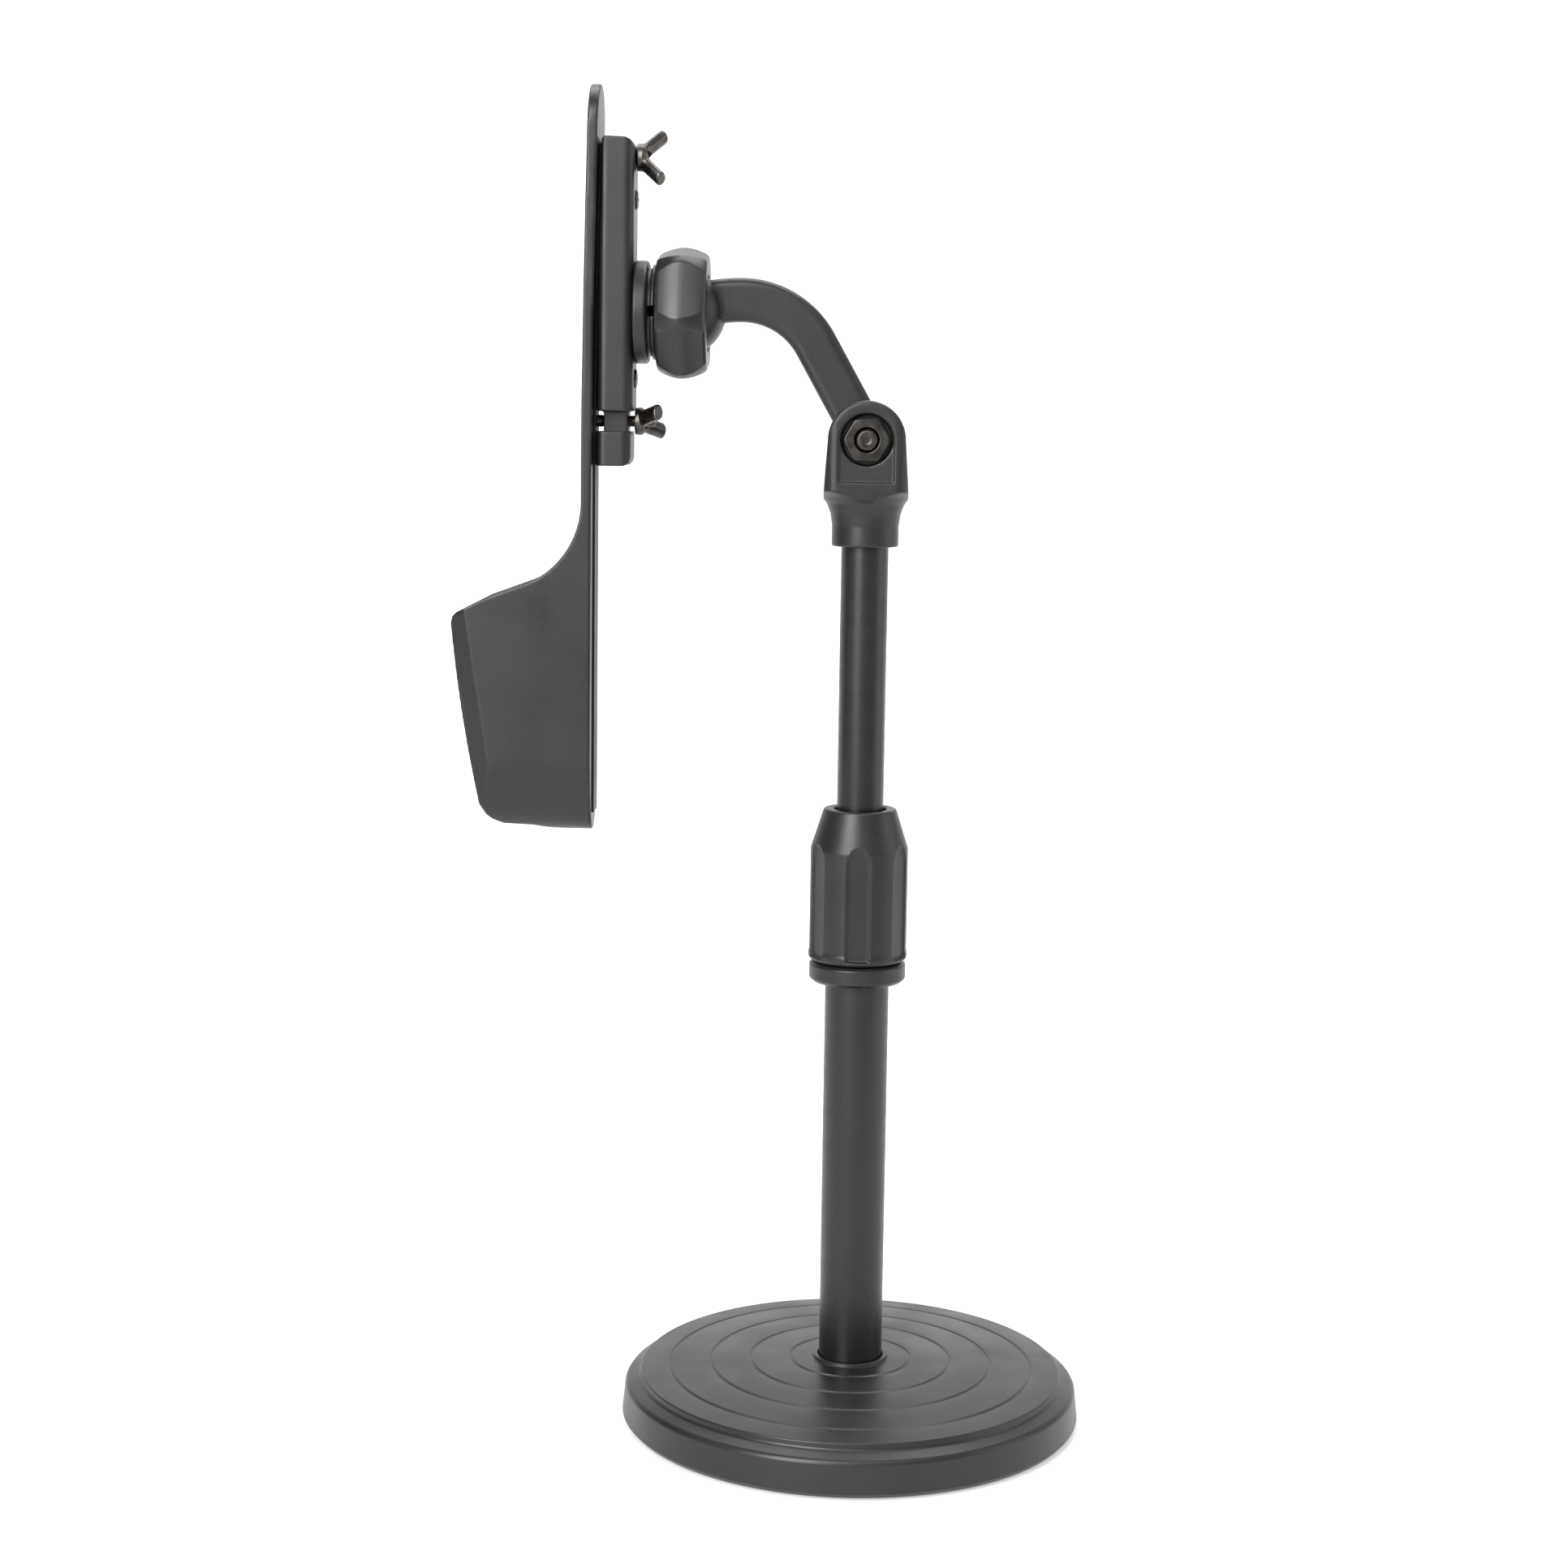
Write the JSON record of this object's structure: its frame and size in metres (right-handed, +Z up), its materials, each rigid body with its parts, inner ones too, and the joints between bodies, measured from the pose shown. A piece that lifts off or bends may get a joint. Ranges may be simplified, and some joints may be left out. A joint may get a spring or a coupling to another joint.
{
  "type": "telescopic desk stand with cup holder",
  "caption": "Weighted round-base telescopic desk stand: a twist-lock pole, clevis arm and ball joint carry a long narrow back plate with an open cup at its foot.",
  "frame": {"origin": "centre of the base's underside, on the pole's axis, on the surface the stand rests on", "axes": "+Z up along the pole, -X towards the holder and its cup, +Y towards the pivot bolt's head"},
  "size_m": [0.2194, 0.16, 0.4575],
  "materials": {
    "shell_plastic": "fine textured matte black",
    "joint_plastic": "satin moulded dark grey",
    "tube_paint": "satin black powder coat",
    "nylon": "plain black nylon",
    "rubber": "matt black foam rubber",
    "weight_iron": "plain cast disc",
    "fastener_steel": "dark nickel-plated steel"
  },
  "bodies": {
    "base": {"base_pad": "rubber", "base_cover": "shell_plastic", "base_weight": "weight_iron", "base_washer": "fastener_steel", "base_bolt": "fastener_steel", "tube_plug": "nylon", "lower_tube": "tube_paint", "lock_sleeve": "joint_plastic", "tube_bushing": "nylon", "collet": "nylon"},
    "collar": {"twist_collar": "joint_plastic"},
    "slider": {"slide_bush": "nylon"},
    "mast": {"upper_tube": "tube_paint", "yoke": "joint_plastic", "pivot_bolt": "fastener_steel", "pivot_nut": "fastener_steel", "pivot_washer_front": "nylon", "pivot_washer_rear": "nylon"},
    "arm": {"arm": "joint_plastic"},
    "ball_pan": {"ball_pad": "nylon"},
    "ball_tilt": {"seat_ring": "nylon"},
    "head": {"socket": "joint_plastic", "bracket": "joint_plastic", "socket_screw": "fastener_steel", "bracket_screw_upper": "fastener_steel", "bracket_screw_lower": "fastener_steel", "bolt_top": "fastener_steel", "bolt_bottom": "fastener_steel", "holder": "shell_plastic", "rear_panel": "nylon"},
    "ball_nut": {"ball_nut": "joint_plastic"},
    "jaw": {"lower_jaw": "joint_plastic"},
    "wing_top": {"wing_nut_top": "fastener_steel"},
    "wing_bottom": {"wing_nut_bottom": "fastener_steel"}
  },
  "joints": [
    {"name": "collar_twist", "type": "hinge", "parent": "base", "child": "collar", "pos_m": [0, 0, 0.19], "axis": [0, 0, 1], "range_deg": [0, 90]},
    {"name": "height_slide", "type": "slide", "parent": "base", "child": "slider", "axis": [0, 0, 1], "range_m": [-0.06, 0.045]},
    {"name": "mast_swivel", "type": "hinge", "parent": "slider", "child": "mast", "pos_m": [0, 0, 0.2], "axis": [0, 0, 1], "continuous": true},
    {"name": "arm_tilt", "type": "hinge", "parent": "mast", "child": "arm", "pos_m": [0, 0, 0.3419], "axis": [0, 1, 0], "range_deg": [-20, 75]},
    {"name": "ball_pan", "type": "hinge", "parent": "arm", "child": "ball_pan", "pos_m": [-0.062, 0, 0.383], "axis": [0, 0, 1], "range_deg": [-9, 9]},
    {"name": "ball_tilt", "type": "hinge", "parent": "ball_pan", "child": "ball_tilt", "pos_m": [-0.062, 0, 0.383], "axis": [0, -1, 0], "range_deg": [-3, 10]},
    {"name": "ball_roll", "type": "hinge", "parent": "ball_tilt", "child": "head", "pos_m": [-0.062, 0, 0.383], "axis": [1, 0, 0], "continuous": true},
    {"name": "ball_nut_turn", "type": "hinge", "parent": "head", "child": "ball_nut", "pos_m": [-0.062, 0, 0.383], "axis": [1, 0, 0], "range_deg": [0, 120]},
    {"name": "jaw_slide", "type": "slide", "parent": "head", "child": "jaw", "axis": [0, 0, 1], "range_m": [-0.006, 0.001]},
    {"name": "wing_top_spin", "type": "hinge", "parent": "head", "child": "wing_top", "pos_m": [-0.076, 0, 0.4338], "axis": [1, 0, 0], "continuous": true},
    {"name": "wing_bottom_spin", "type": "hinge", "parent": "head", "child": "wing_bottom", "pos_m": [-0.076, 0, 0.3468], "axis": [1, 0, 0], "continuous": true}
  ]
}
